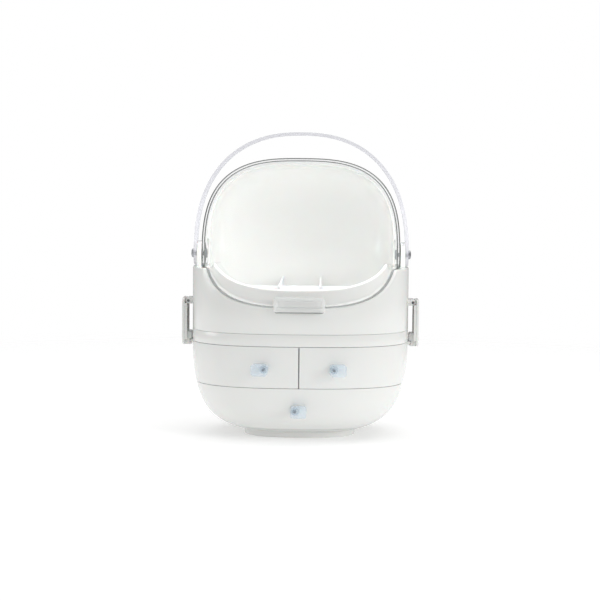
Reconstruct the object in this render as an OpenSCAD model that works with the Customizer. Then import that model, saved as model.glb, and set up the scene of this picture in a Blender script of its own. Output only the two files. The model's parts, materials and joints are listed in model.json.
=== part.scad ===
// Dustproof makeup organizer: an egg-shaped box with a clear visor lid and a
// carrying arch, clasped onto a cabinet with two small drawers and a wide one.
// Millimetres, +Z up, the front faces -Y, the origin is the middle of the foot.

/* [Body] */
// Width of the body, without the side clasps
body_w = 240; // [228:1:250]
// Depth of the body
body_d = 186; // [178:1:194]
// Squareness of the plan outline, 2 is an ellipse
plan_power = 2.7; // [2.4:0.05:2.9]
// Squareness of the curve under the body
side_power = 3.8; // [3.4:0.1:4.2]
// Height where the sides begin to curve in towards the foot
belly_z = 136; // [130:1:142]
// Height at which the curve under the body would close
belly_root = 4; // [2:0.5:5]
// Wall thickness of the casings
wall = 2.5; // [2:0.1:3]

/* [Cabinet] */
// Height of the foot
foot_h = 8; // [7:0.5:9]
// Width of the foot
foot_w = 124; // [110:1:130]
// Depth of the foot
foot_d = 92; // [84:1:98]
// Wall of the foot
foot_wall = 3; // [2:0.5:4]
// Height of the seam between the drawer rows
row_z = 60; // [56:1:64]
// Height of the top of the cabinet
cabinet_z = 105; // [101:1:109]
// Thickness of the shelf, the deck and the partition
board = 2.6; // [2:0.1:3.2]
// Distance from the middle to the front edge of the cabinet's side walls
front_y = 36; // [30:1:42]

/* [Drawers] */
// Gap round a drawer front
front_gap = 0.6; // [0.4:0.1:0.8]
// Gap between the two small drawer fronts
centre_gap = 1.2; // [0.8:0.1:1.6]
// Wall of a drawer tray
tray_wall = 2; // [1.5:0.1:2.5]
// Running gap beside a drawer tray
tray_side_gap = 1.2; // [0.9:0.1:1.6]
// Gap under a drawer tray
tray_under_gap = 0.2; // [0.1:0.05:0.3]
// Height left free above a drawer tray
tray_head_gap = 1.4; // [1:0.1:3]
// Distance from the middle to the back of the drawer trays
tray_back = 62; // [40:1:66]

/* [Knobs] */
// Width of a knob
knob_w = 17; // [14:0.5:20]
// Height of a knob
knob_h = 12.5; // [10.5:0.5:15]
// Depth of the knob's block
knob_d = 11; // [9:0.5:14]
// Corner radius of a knob
knob_r = 3; // [2:0.5:4]
// Diameter of the knob's neck
neck_dia = 8.5; // [7:0.5:10]
// Length of the knob's neck
neck_l = 3.5; // [2.5:0.5:5]
// Distance of a small drawer's knob screw from the middle
knob_x = 37; // [30:1:45]
// Distance of the screw from the middle of its knob
knob_shift = 4; // [0:0.5:4]
// Height of the small drawers' knobs
upper_knob_z = 81; // [77:1:85]
// Height of the wide drawer's knob
lower_knob_z = 35.5; // [33:0.5:38]
// Diameter of the knob screw
screw_dia = 3; // [2.5:0.5:3.5]

/* [Upper box] */
// Height of the seam on top of the base tray's band
band_z = 118.3; // [115:0.1:122]
// Gap left open along the seams between the casings
seam = 0.4; // [0.3:0.1:0.6]
// Thickness of the upper box's floor
box_floor = 2.6; // [2:0.1:3.2]
// Distance of the inner wall from the outer face at the rim
lip_inset = 5.5; // [5.2:0.1:6.5]
// Thickness of the inner wall
lip_wall = 2.2; // [1.8:0.1:2.6]
// Distance of the inner wall's flat sides from the body's sides
lip_side_inset = 14.5; // [14:0.5:16]
// Height of the inner lip above the rim at the front
lip_rise = 20.5; // [16:0.5:23]
// Height of the raised lip's ends below the pivots
lip_side_drop = 7; // [6.5:0.5:9]
// Distance of the raised lip's ends from the body's sides
lip_end_inset = 23; // [22:0.5:30]
// Radius of the curve along the lip's edge, seen from the side
lip_arc_r = 124; // [118:1:130]
// Slope of that curve at the front
lip_slope = 40; // [36:1:44]
// Distance of each divider from the middle
divider_x = 22; // [18:0.5:30]
// Height of the dividers above the floor
divider_h = 62; // [50:1:72]
// Height of the cross divider above the floor
cross_h = 56; // [40:1:60]
// Distance of the cross divider behind the middle
cross_y = 8; // [0:1:20]
// Thickness of the dividers
divider_t = 2; // [1.6:0.1:2.4]

/* [Lid] */
// Height of the pivots
pivot_z = 200; // [198:1:204]
// Drop of the rim at the front, below the pivots
rim_drop = 54; // [51:0.5:56]
// Drop of the rim at the sides, below the pivots
side_drop = 13.5; // [13.2:0.1:15]
// Radius of the curve along the rim, seen from the side
rim_arc_r = 113; // [110:1:116]
// Slope of that curve at the front
rim_slope = 38; // [36:1:40]
// How far the lid's sides lie inside the body's sides
lid_side_inset = 9.8; // [9.5:0.1:10]
// Squareness of the lid's arch
lid_power = 2.87; // [2.75:0.01:2.95]
// Thickness of the lid
lid_wall = 2.5; // [2:0.1:2.8]
// How far the lid's face lies inside the body's face at the front
lid_inset = 1; // [0.6:0.1:1.4]
// Angle of the lid's rear edge, from level at the front
lid_rear = 102; // [98:0.5:102]
// Radius of the lid's ears round the pivots
lid_ear_r = 12.6; // [11:0.1:12.8]
// Gap between the lid's edge and the rim
rim_gap = 0.5; // [0.4:0.1:0.8]
// Width of the lid's front tab
tab_w = 55; // [45:1:62]
// Height of the tab
tab_h = 17; // [14:0.5:20]
// Thickness of the tab
tab_t = 5; // [4:0.5:6]
// Corner radius of the tab
tab_r = 4; // [3:0.5:6]
// Gap between the tab and the body's face
tab_gap = 1; // [0.8:0.1:1.4]
// Height of the tab's top above the rim at the front
tab_top = 12.5; // [10:0.5:14]

/* [Back cover] */
// Gap between the lid and the back cover
cover_gap = 1.7; // [1.3:0.1:2]
// Thickness of the back cover
cover_wall = 2.5; // [2:0.1:3]
// Angle of the cover's front edge, from level at the front
cover_front = 95; // [92:0.5:97]
// Radius left free round the pivots
cover_notch_r = 16; // [14:0.5:18]

/* [Handle] */
// Clear height for a hand, between the lid and the handle
handle_clear = 25.1; // [22:0.1:32]
// Squareness of the handle's arch
handle_power = 2.35; // [2.2:0.05:2.5]
// Thickness of the handle's band
handle_t = 3.2; // [2.6:0.1:3.6]
// Width of the handle's band
handle_w = 25; // [18:0.5:25.5]
// How far the handle's arms lie inside the body's width
handle_inset = 0.5; // [0.2:0.1:0.8]

/* [Pivots] */
// Diameter of the pivot rivets
pivot_dia = 5; // [4:0.5:6]
// Diameter of the rivet heads
rivet_head_dia = 10; // [8.5:0.5:11]
// Thickness of the rivet heads
rivet_head_t = 3; // [2:0.5:4]
// Diameter of the retainers
cap_dia = 11; // [9.5:0.5:12]
// Thickness of the retainers
cap_t = 2.2; // [1.6:0.1:2.6]
// Radius of the body's ears round the pivots
ear_r = 14; // [13.2:0.1:15]
// Side gap beside each turning part
side_gap = 0.4; // [0.3:0.05:0.5]
// Running fit of a bore on its pin, on the radius
fit = 0.05; // [0.03:0.01:0.08]

/* [Clasps] */
// Width of a clasp
clasp_w = 34; // [28:1:40]
// Thickness of a clasp's plate
clasp_t = 2.8; // [2.2:0.1:3.2]
// How far a clasp stands out from the body
clasp_reach = 11.6; // [11.2:0.1:12.4]
// Height of the clasp's pin above the cabinet's top
clasp_pin_rise = 42.5; // [40:0.5:44]
// Distance of the clasp's pin from the body's side
clasp_pin_out = 5; // [4.6:0.1:5.4]
// Diameter of the clasp's pin
clasp_pin_dia = 3; // [2.5:0.5:3.5]
// Radius of the lugs and the knuckle
lug_r = 3.4; // [3:0.1:3.5]
// Width of each lug
lug_w = 4; // [3:0.5:5]
// Width of the clasp's knuckle
knuckle_w = 15; // [12:1:18]
// Height of the clasp's lower block above the seam
clasp_block_h = 8; // [6:0.5:10]
// How far the catch ribs stand out
catch_out = 2.9; // [2.4:0.1:3.2]
// Height of a catch rib
catch_h = 3; // [2.5:0.1:3.5]
// Distance of the catch ribs below the cabinet's top
catch_drop = 0.7; // [0.5:0.1:1]
// Width of a catch rib
catch_w = 24; // [20:1:26]
// Gap between a clasp's hook and its catch rib
catch_gap = 0.4; // [0.3:0.05:0.5]
// Height of the hook's tip
hook_h = 2.2; // [1.8:0.1:2.6]

/* [Hidden] */

plan_steps = 48;
profile_steps = 32;
reach = 400;
$fn = 64;

half_body_w = body_w / 2;
half_body_d = body_d / 2;
floor_z = foot_h + wall;
levels = [foot_h, foot_h + 3, foot_h + 7, foot_h + 13, foot_h + 21, foot_h + 33,
          row_z, (row_z + cabinet_z) / 2, cabinet_z];
seat_gap = 0.2;
front_seat = 0.3;
weld = 0.1;

upper_z0 = row_z + front_gap / 2;
upper_z1 = cabinet_z - front_gap / 2;
lower_z0 = floor_z + front_gap / 2;
lower_z1 = row_z - front_gap / 2;
shelf_z0 = row_z - board / 2;
shelf_z1 = row_z + board / 2;
deck_z0 = cabinet_z - board;

box_floor_z = cabinet_z + box_floor;
tub_z = band_z + seam / 2;
tongue_h = 3.4;
tongue_t = 2;
tongue_gap = 0.3;

lid_front_y = half_body_d - lid_inset;
lid_r = sqrt(lid_front_y * lid_front_y + rim_drop * rim_drop);
lid_half = half_body_w - lid_side_inset;
rim_front = [-lid_front_y, -rim_drop];
lip_front = [-(half_body_d - lip_inset - lip_wall), lip_rise - rim_drop];
rim_z = pivot_z - rim_drop;
lip_half = half_body_w - lip_side_inset;
lip_end = half_body_w - lip_end_inset;
cover_offset = lid_wall + cover_gap;
boss_proud = 0.4;
boss_depth = 0.7;
lid_boss_out = lid_half + boss_proud;
lid_boss_in = lid_half - lid_wall - boss_depth;
tab_web_in = 3;
tab_web_low = 1.5;
tab_web_reach = 13;
ear_in = lid_boss_out + side_gap;
handle_half = half_body_w - handle_inset;
handle_rise = lid_r + handle_clear + handle_t;
ear_out = handle_half - handle_t - side_gap;
cap_out = lid_boss_in - seat_gap;

pad_dia = 12;
pad_back = 5;
pad_min = 0.6;
pad_proud = 0.2;
knob_cover = 4;
screw_tip_gap = 1;
screw_head_dia = 6.4;
screw_head_h = 2.2;
screw_clear = 0.2;
tray_notch = 12;

clasp_pin_x = half_body_w + clasp_pin_out;
clasp_pin_z = cabinet_z + clasp_pin_rise;
clasp_face = half_body_w + clasp_reach - clasp_t;
clasp_top = 3;
clasp_r = 5;
hook_gap = 1.2;
catch_z1 = cabinet_z - catch_drop;
catch_z0 = catch_z1 - catch_h;
clasp_z0 = catch_z0 - catch_gap - hook_h;
lug_gap = 0.3;

function power_curve(u, n) = pow(max(0, 1 - pow(min(1, abs(u)), n)), 1 / n);
function power_sin(t, n) = sign(sin(t)) * pow(abs(sin(t)), 2 / n);
function power_cos(t, n) = sign(cos(t)) * pow(abs(cos(t)), 2 / n);

// Share of the full width and depth that the body has at a height
function belly(z) =
    z >= belly_z ? 1 : power_curve((belly_z - z) / (belly_z - belly_root), side_power);

// Points of the plan outline with the given half width and half depth
function outline(a, b) =
    [for (i = [0 : plan_steps - 1]) let (t = 360 * i / plan_steps)
        [a * power_cos(t, plan_power), b * power_sin(t, plan_power)]];

// Half width of the body at a depth y and a height z
function wall_x(y, z, inset) =
    let (a = half_body_w * belly(z) - inset, b = half_body_d * belly(z) - inset)
    a * power_curve(y / b, plan_power);

// Half depth of the body at a width x and a height z
function wall_y(x, z, inset) =
    let (a = half_body_w * belly(z) - inset, b = half_body_d * belly(z) - inset)
    b * power_curve(x / a, plan_power);

// Angle to the front of the body's face at a width x and a height z
function face_angle(x, z) =
    let (a = half_body_w * belly(z), b = half_body_d * belly(z), y = wall_y(x, z, 0))
    atan2(pow(x / a, plan_power - 1) / a, pow(y / b, plan_power - 1) / b);

// Centre of an arc that leaves a front point at a slope, curving upwards
function arc_centre(front, slope, r) = front + r * [-sin(slope), cos(slope)];

// Outline of half a lid or cover, as [radius, distance along the pivot axis]
function dome_profile(offset_in) =
    [for (i = [0 : profile_steps]) let (t = 180 * i / profile_steps)
        [(lid_r - offset_in) * abs(power_sin(t, lid_power)),
         (lid_half - offset_in) * power_cos(t, lid_power)]];

function reversed(list) = [for (i = [len(list) - 1 : -1 : 0]) list[i]];

// Solid that follows the curved underside of the body, set in by inset
module egg(inset = 0, z_list = levels) {
    n = plan_steps;
    rings = len(z_list);
    points = [for (z = z_list)
        for (p = outline(half_body_w * belly(z) - inset, half_body_d * belly(z) - inset))
            [p.x, p.y, z]];
    sides = [for (k = [0 : rings - 2]) for (i = [0 : n - 1])
        let (low = k * n + i, low2 = k * n + (i + 1) % n)
        each [[low, low + n, low2 + n], [low, low2 + n, low2]]];
    bottom = [for (i = [0 : n - 1]) i];
    top = [for (i = [0 : n - 1]) rings * n - 1 - i];
    polyhedron(points = points, faces = concat([bottom], sides, [top]));
}

// Heights of an inner surface that starts at z0 and runs out of the top
function inner_levels(z0) =
    concat([z0], [for (z = levels) if (z > z0 + 1) z], [cabinet_z + 1]);

// Straight-walled block with the body's widest plan
module slab(z0, z1, inset = 0)
    translate([0, 0, z0]) linear_extrude(z1 - z0)
        polygon(outline(half_body_w - inset, half_body_d - inset));

// Flat board in the cabinet, clear of the drawer fronts
module cabinet_board(z0, z1) {
    rear_inset = wall + seat_gap;
    front_inset = wall + front_gap;
    scale_in = belly(z0);
    for (part = [[rear_inset, 1], [front_inset, -1]])
        intersection() {
            translate([0, 0, z0]) linear_extrude(z1 - z0)
                polygon(outline(half_body_w * scale_in - part[0],
                                half_body_d * scale_in - part[0]));
            translate([-reach, part[1] > 0 ? -front_y : -reach, 0])
                cube([2 * reach, part[1] > 0 ? reach : reach - front_y, reach]);
        }
}

// Turns a flat shape drawn as [y, z] about the pivots into a bar along X
module across(width = reach)
    translate([0, 0, pivot_z]) rotate([90, 0, 90])
        linear_extrude(width, center = true) children();

// Turns a flat shape drawn as [x, z] into a bar along Y
module along(depth)
    rotate([90, 0, 0]) linear_extrude(depth, center = true) children();

// Cylinder along X about the pivots, from x0 to x1 on the given side
module pivot_disc(side, x0, x1, r)
    translate([side * x0, 0, pivot_z]) rotate([0, side * 90, 0])
        cylinder(h = x1 - x0, r = r);

// Flat shape of everything above the rim, lifted by gap
module above_rim(gap = 0) {
    centre = arc_centre(rim_front, rim_slope, rim_arc_r);
    translate([-reach, gap - side_drop]) square([2 * reach, reach]);
    for (side = [-1, 1])
        translate([-side * centre.x, centre.y]) circle(r = rim_arc_r - gap, $fn = 128);
}

// Flat shape of everything above the inner lip
module above_lip() {
    centre = arc_centre(lip_front, lip_slope, lip_arc_r);
    translate([-reach, -lip_side_drop]) square([2 * reach, reach]);
    translate(centre) circle(r = lip_arc_r, $fn = 128);
}

// Flat half plane through the pivots, on the front side for side = -1
module half_plane(angle, side)
    rotate(90 - angle) translate([side < 0 ? -reach : 0, -reach]) square([reach, 2 * reach]);

// Full dome shell about the pivot axis
module dome(outer, inner)
    translate([0, 0, pivot_z]) rotate([0, 90, 0]) rotate_extrude($fn = 96)
        polygon(concat(dome_profile(outer), reversed(dome_profile(inner))));

module dome_solid(offset_in)
    translate([0, 0, pivot_z]) rotate([0, 90, 0]) rotate_extrude($fn = 96)
        polygon(dome_profile(offset_in));

module rounded_rect(w, h, r) {
    square([w - 2 * r, h], center = true);
    square([w, h - 2 * r], center = true);
    for (x = [-1, 1], y = [-1, 1])
        translate([x * (w / 2 - r), y * (h / 2 - r)]) circle(r = r, $fn = 32);
}

// Cabinet

// Casing, open at the front, with a catch rib on each side
module cabinet_shell() color("white") {
    difference() {
        egg();
        egg(wall, inner_levels(floor_z));
        translate([-reach, -reach, floor_z])
            cube([2 * reach, reach - front_y, reach]);
    }
    for (side = [-1, 1])
        translate([side * (half_body_w + catch_out / 2 - wall / 4), 0, (catch_z0 + catch_z1) / 2])
            cube([catch_out + wall / 2, catch_w, catch_h], center = true);
}

// Shallow pan under the cabinet, with a flat face to stand on
module foot_base() color("white")
    difference() {
        linear_extrude(foot_h) polygon(outline(foot_w / 2, foot_d / 2));
        translate([0, 0, foot_wall]) linear_extrude(foot_h)
            polygon(outline(foot_w / 2 - foot_wall, foot_d / 2 - foot_wall));
    }

module drawer_shelf() color("white") cabinet_board(shelf_z0, shelf_z1);

module cabinet_deck() color("white") cabinet_board(deck_z0, cabinet_z);

module centre_partition() color("white")
    intersection() {
        translate([-board / 2, -reach, shelf_z1])
            cube([board, 2 * reach, deck_z0 - shelf_z1]);
        translate([0, 0, shelf_z1]) linear_extrude(deck_z0 - shelf_z1)
            polygon(outline(half_body_w * belly(shelf_z1) - wall - front_gap,
                            half_body_d * belly(shelf_z1) - wall - front_gap));
    }

// Drawers

// Places a part on the body's face at a knob, with -Y pointing outwards
module at_knob(x, z)
    translate([x, -wall_y(x, z, 0), z])
        rotate([0, 0, sign(x) * face_angle(abs(x), z)]) children();

// How far a knob's flat pad stands out from the face
function pad_out(z) =
    max(pad_min, wall_y(0, z + pad_dia / 2, 0) - wall_y(0, z, 0) + pad_proud);

module rod(dia, y0, y1)
    translate([0, y1, 0]) rotate([90, 0, 0]) cylinder(h = y1 - y0, d = dia);

// Drawer front: a slice of the body's wall with a pad for the knob
module drawer_front(x0, x1, z0, z1, kx, kz)
    difference() {
        union() {
            intersection() {
                difference() {
                    egg();
                    egg(wall, inner_levels(floor_z));
                }
                translate([x0, -reach, z0])
                    cube([x1 - x0, reach - front_y - front_gap, z1 - z0]);
            }
            at_knob(kx, kz) rod(pad_dia, -pad_out(kz), pad_back);
        }
        at_knob(kx, kz) rod(screw_dia + 2 * screw_clear, -reach / 4, pad_back + 1);
    }

// Solid space of a tray, set in by t
module tray_core(x0, x1, z0, z1, t) {
    width_at = function (z) wall_x(front_y, z, wall + tray_side_gap + t);
    heights = concat([floor_z], [for (z = levels) if (z > floor_z + 1) z]);
    intersection() {
        union() {
            intersection() {
                egg(wall + front_seat + t, inner_levels(floor_z));
                translate([-reach, -reach, 0]) cube([2 * reach, reach, reach]);
            }
            intersection() {
                egg(wall + tray_side_gap + t, inner_levels(floor_z));
                translate([-reach, 0, 0]) cube([2 * reach, reach, reach]);
            }
        }
        along(2 * reach)
            polygon(concat([for (z = heights) [width_at(z), z]],
                           [for (z = reversed(heights)) [-width_at(z), z]]));
        translate([x0 + t, -reach, z0])
            cube([x1 - x0 - 2 * t, reach + tray_back - t, z1 - z0]);
    }
}

module drawer_tray(x0, x1, z0, z1, kx, kz)
    difference() {
        tray_core(x0, x1, z0, z1, 0);
        tray_core(x0, x1, z0 + tray_wall, z1 + 1, tray_wall);
        at_knob(kx, kz) rod(pad_dia + 2 * front_seat, 0, pad_back + tray_notch);
    }

module knob(kx, kz, shift)
    at_knob(kx, kz) {
        base = -pad_out(kz);
        difference() {
            union() {
                rod(neck_dia, base - neck_l - weld, base);
                translate([shift, base - neck_l - knob_d / 2, 0])
                    along(knob_d) rounded_rect(knob_w, knob_h, knob_r);
            }
            rod(screw_dia, base - neck_l - knob_d + knob_cover, base + 1);
        }
    }

module knob_screw(kx, kz)
    at_knob(kx, kz) {
        base = -pad_out(kz);
        rod(screw_dia, base - neck_l - knob_d + knob_cover + screw_tip_gap, pad_back + weld);
        rod(screw_head_dia, pad_back, pad_back + screw_head_h);
    }

small_x0 = centre_gap / 2;
small_tray_x0 = board / 2 + tray_side_gap;
small_tray_z0 = shelf_z1 + tray_under_gap;
small_tray_z1 = deck_z0 - tray_head_gap;
wide_tray_z0 = floor_z + tray_under_gap;
wide_tray_z1 = shelf_z0 - tray_head_gap;

module left_drawer_front() color("white")
    drawer_front(-reach, -small_x0, upper_z0, upper_z1, -knob_x, upper_knob_z);
module right_drawer_front() color("white")
    drawer_front(small_x0, reach, upper_z0, upper_z1, knob_x, upper_knob_z);
module wide_drawer_front() color("white")
    drawer_front(-reach, reach, lower_z0, lower_z1, -knob_shift, lower_knob_z);

module left_drawer_tray() color("whitesmoke")
    drawer_tray(-reach, -small_tray_x0, small_tray_z0, small_tray_z1, -knob_x, upper_knob_z);
module right_drawer_tray() color("whitesmoke")
    drawer_tray(small_tray_x0, reach, small_tray_z0, small_tray_z1, knob_x, upper_knob_z);
module wide_drawer_tray() color("whitesmoke")
    drawer_tray(-reach, reach, wide_tray_z0, wide_tray_z1, -knob_shift, lower_knob_z);

module left_knob() color("lightsteelblue") knob(-knob_x, upper_knob_z, -knob_shift);
module right_knob() color("lightsteelblue") knob(knob_x, upper_knob_z, knob_shift);
module wide_knob() color("lightsteelblue") knob(-knob_shift, lower_knob_z, knob_shift);

module left_knob_screw() color("silver") knob_screw(-knob_x, upper_knob_z);
module right_knob_screw() color("silver") knob_screw(knob_x, upper_knob_z);
module wide_knob_screw() color("silver") knob_screw(-knob_shift, lower_knob_z);

// Upper box

module base_tray() color("white") {
    band_top = band_z - seam / 2;
    difference() {
        slab(cabinet_z + seam, band_top);
        slab(cabinet_z - 1, band_top + 1, wall);
    }
    slab(cabinet_z, box_floor_z, wall - weld);
    difference() {
        slab(box_floor_z - 1, band_top + tongue_h, wall + tongue_gap);
        slab(box_floor_z - 2, band_top + tongue_h + 1, wall + tongue_gap + tongue_t);
    }
    // bridges the band to the tongue
    difference() {
        slab(cabinet_z + seam, band_top, wall - weld);
        slab(cabinet_z, band_top + 1, wall + tongue_gap + tongue_t);
    }
}

// Block inside the tub's double wall, flattened at the sides
module liner_block(z0, z1, t)
    intersection() {
        slab(z0, z1, lip_inset + t);
        cube([2 * (lip_half - t), reach, 2 * reach], center = true);
    }

module liner_tube(t_out, t_in)
    difference() {
        liner_block(box_floor_z + front_seat, pivot_z, t_out);
        liner_block(0, reach, t_in);
    }

module tub() color("white")
    difference() {
        union() {
            difference() {
                slab(tub_z, pivot_z);
                across() above_rim();
                liner_block(0, reach, lip_wall);
                difference() {
                    slab(tub_z - 1, pivot_z, wall);
                    liner_block(0, reach, 0);
                    across() above_rim(-wall);
                }
            }
            difference() {
                liner_tube(0, lip_wall);
                across() above_rim();
            }
            difference() {
                intersection() {
                    liner_tube(0, lip_wall);
                    translate([-lip_end, -reach, 0]) cube([2 * lip_end, reach, reach]);
                }
                across() above_lip();
            }
            for (side = [-1, 1]) {
                pivot_disc(side, ear_in, ear_out, ear_r);
                translate([side * (ear_in + ear_out) / 2, 0, pivot_z - (side_drop + 1) / 2])
                    cube([ear_out - ear_in, 2 * ear_r, side_drop + 1], center = true);
            }
        }
        for (side = [-1, 1])
            pivot_disc(side, ear_in - 1, ear_out + 1, pivot_dia / 2);
    }

// Two lugs on the tub's side that hold the clasp's pin
module clasp_lugs(side)
    difference() {
        for (end = [-1, 1])
            translate([0, end * (knuckle_w / 2 + lug_gap + lug_w / 2), clasp_pin_z]) {
                translate([side * clasp_pin_x, 0, 0]) rotate([90, 0, 0])
                    cylinder(h = lug_w, r = lug_r, center = true);
                translate([side * (clasp_pin_x + half_body_w - wall / 2) / 2, 0, 0])
                    cube([clasp_pin_out + wall / 2, lug_w, 2 * lug_r], center = true);
            }
        slab(tub_z, pivot_z);
        latch_pin_rod(side, clasp_pin_dia);
    }

module clasp_lugs_left() color("white") clasp_lugs(-1);
module clasp_lugs_right() color("white") clasp_lugs(1);

module latch_pin_rod(side, dia)
    translate([side * clasp_pin_x, 0, clasp_pin_z]) rotate([90, 0, 0])
        cylinder(h = knuckle_w + 2 * (lug_w + lug_gap), d = dia, center = true);

module latch_pins() color("silver")
    for (side = [-1, 1]) latch_pin_rod(side, clasp_pin_dia);

module back_cover() color("white")
    intersection() {
        dome(cover_offset, cover_offset + cover_wall);
        across() difference() {
            intersection() {
                above_rim(seat_gap);
                half_plane(cover_front, 1);
            }
            circle(r = cover_notch_r);
        }
    }

// Front-to-back divider, slotted from the top for the cross divider
module long_divider(x)
    difference() {
        intersection() {
            translate([x - divider_t / 2, -reach, box_floor_z])
                cube([divider_t, 2 * reach, divider_h]);
            liner_block(0, reach, lip_wall + front_seat);
        }
        translate([x - divider_t, cross_y - divider_t / 2 - seat_gap, box_floor_z + cross_h / 2])
            cube([2 * divider_t, divider_t + 2 * seat_gap, reach]);
    }

module divider_left() color("whitesmoke") long_divider(-divider_x);
module divider_right() color("whitesmoke") long_divider(divider_x);

module divider_cross() color("whitesmoke")
    difference() {
        intersection() {
            translate([-reach, cross_y - divider_t / 2, box_floor_z])
                cube([2 * reach, divider_t, cross_h]);
            liner_block(0, reach, lip_wall + front_seat);
        }
        for (side = [-1, 1])
            translate([side * divider_x - divider_t / 2 - seat_gap, -reach / 2, 0])
                cube([divider_t + 2 * seat_gap, reach, box_floor_z + cross_h / 2 + seat_gap]);
    }

// Pivots

module pivot_pin(side) {
    tip = cap_out - cap_t;
    shank = handle_half + seat_gap - tip;
    r = pivot_dia / 2;
    head_r = rivet_head_dia / 2;
    translate([side * tip, 0, pivot_z]) rotate([0, side * 90, 0]) rotate_extrude()
        polygon([[0, 0], [r, 0], [r, shank], [head_r, shank],
                 [head_r, shank + rivet_head_t / 2], [head_r - 1, shank + rivet_head_t],
                 [0, shank + rivet_head_t]]);
}

module pivot_cap(side)
    difference() {
        pivot_disc(side, cap_out - cap_t, cap_out, cap_dia / 2);
        pivot_disc(side, cap_out - cap_t - 1, cap_out + 1, pivot_dia / 2);
    }

module pivot_pin_left() color("dimgray") pivot_pin(-1);
module pivot_pin_right() color("dimgray") pivot_pin(1);
module pivot_cap_left() color("silver") pivot_cap(-1);
module pivot_cap_right() color("silver") pivot_cap(1);

// Lid

module lid() color("lightcyan", 0.5)
    difference() {
        union() {
            intersection() {
                dome(0, lid_wall);
                across() union() {
                    circle(r = lid_ear_r);
                    intersection() {
                        above_rim(rim_gap);
                        half_plane(lid_rear, -1);
                    }
                }
            }
            for (side = [-1, 1])
                pivot_disc(side, lid_boss_in, lid_boss_out, lid_ear_r);
            lid_tab();
        }
        for (side = [-1, 1])
            pivot_disc(side, lid_boss_in - 1, lid_boss_out + 1, pivot_dia / 2 + fit);
    }

// Finger tab that hangs in front of the rim
module lid_tab() {
    top_z = rim_z + tab_top;
    back_y = half_body_d + tab_gap;
    translate([0, -back_y - tab_t / 2, top_z - tab_h / 2])
        along(tab_t) rounded_rect(tab_w, tab_h, tab_r);
    difference() {
        translate([-tab_w / 2 + tab_web_in, -back_y - tab_t / 2, rim_z + tab_web_low])
            cube([tab_w - 2 * tab_web_in, tab_web_reach, tab_top - tab_web_low - tab_web_in]);
        dome_solid(lid_wall / 2);
    }
}

// Handle

module handle() color("lavender", 0.5)
    difference() {
        intersection() {
            translate([0, 0, pivot_z]) along(handle_w) {
                steps = [for (i = [0 : profile_steps]) 180 * i / profile_steps];
                polygon(concat(
                    [for (t = steps) [handle_half * power_cos(t, handle_power),
                                      handle_rise * power_sin(t, handle_power)]],
                    [for (t = reversed(steps))
                        [(handle_half - handle_t) * power_cos(t, handle_power),
                         (handle_rise - handle_t) * power_sin(t, handle_power)]]));
                for (side = [-1, 1])
                    translate([side * (handle_half - handle_t / 2) - handle_t / 2, -handle_w / 2])
                        square([handle_t, handle_w / 2 + 0.01]);
            }
            across() {
                circle(r = handle_w / 2);
                translate([-handle_w / 2, 0]) square([handle_w, reach]);
            }
        }
        for (side = [-1, 1])
            pivot_disc(side, handle_half - handle_t - 1, handle_half + 1, pivot_dia / 2 + fit);
    }

// Clasps

module latch(side) {
    hook_x = half_body_w + hook_gap;
    root_x = clasp_face + clasp_t / 2;
    difference() {
        union() {
            // plate, rounded at its corners
            translate([side * (clasp_face + clasp_t / 2), 0, (clasp_z0 + clasp_pin_z + clasp_top) / 2])
                rotate([90, 0, 90]) linear_extrude(clasp_t, center = true)
                    rounded_rect(clasp_w, clasp_pin_z + clasp_top - clasp_z0, clasp_r);
            // knuckle round the pin
            translate([side * clasp_pin_x, 0, clasp_pin_z]) rotate([90, 0, 0])
                cylinder(h = knuckle_w, r = lug_r, center = true);
            translate([side * (clasp_pin_x + root_x) / 2, 0, clasp_pin_z])
                cube([root_x - clasp_pin_x, knuckle_w, 2 * lug_r], center = true);
            // block and hook that grip the catch rib
            translate([side * (hook_x + root_x) / 2, 0,
                       (clasp_z0 + cabinet_z + clasp_block_h) / 2])
                cube([root_x - hook_x, catch_w - 2,
                      cabinet_z + clasp_block_h - clasp_z0], center = true);
        }
        translate([side * (half_body_w + catch_out / 2), 0, (catch_z0 + catch_z1) / 2])
            cube([catch_out + 2 * catch_gap, reach, catch_h + 2 * catch_gap], center = true);
        latch_pin_rod(side, clasp_pin_dia + 2 * fit);
    }
}

module latch_left() color("white") latch(-1);
module latch_right() color("white") latch(1);

cabinet_shell();
foot_base();
drawer_shelf();
centre_partition();
cabinet_deck();
left_drawer_front();
left_drawer_tray();
left_knob();
left_knob_screw();
right_drawer_front();
right_drawer_tray();
right_knob();
right_knob_screw();
wide_drawer_front();
wide_drawer_tray();
wide_knob();
wide_knob_screw();
base_tray();
tub();
clasp_lugs_left();
clasp_lugs_right();
back_cover();
divider_left();
divider_right();
divider_cross();
pivot_pin_left();
pivot_pin_right();
pivot_cap_left();
pivot_cap_right();
lid();
handle();
latch_left();
latch_right();
latch_pins();
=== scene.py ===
import json
import math

import bmesh
import bpy
from mathutils import Euler, Matrix, Vector


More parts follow.
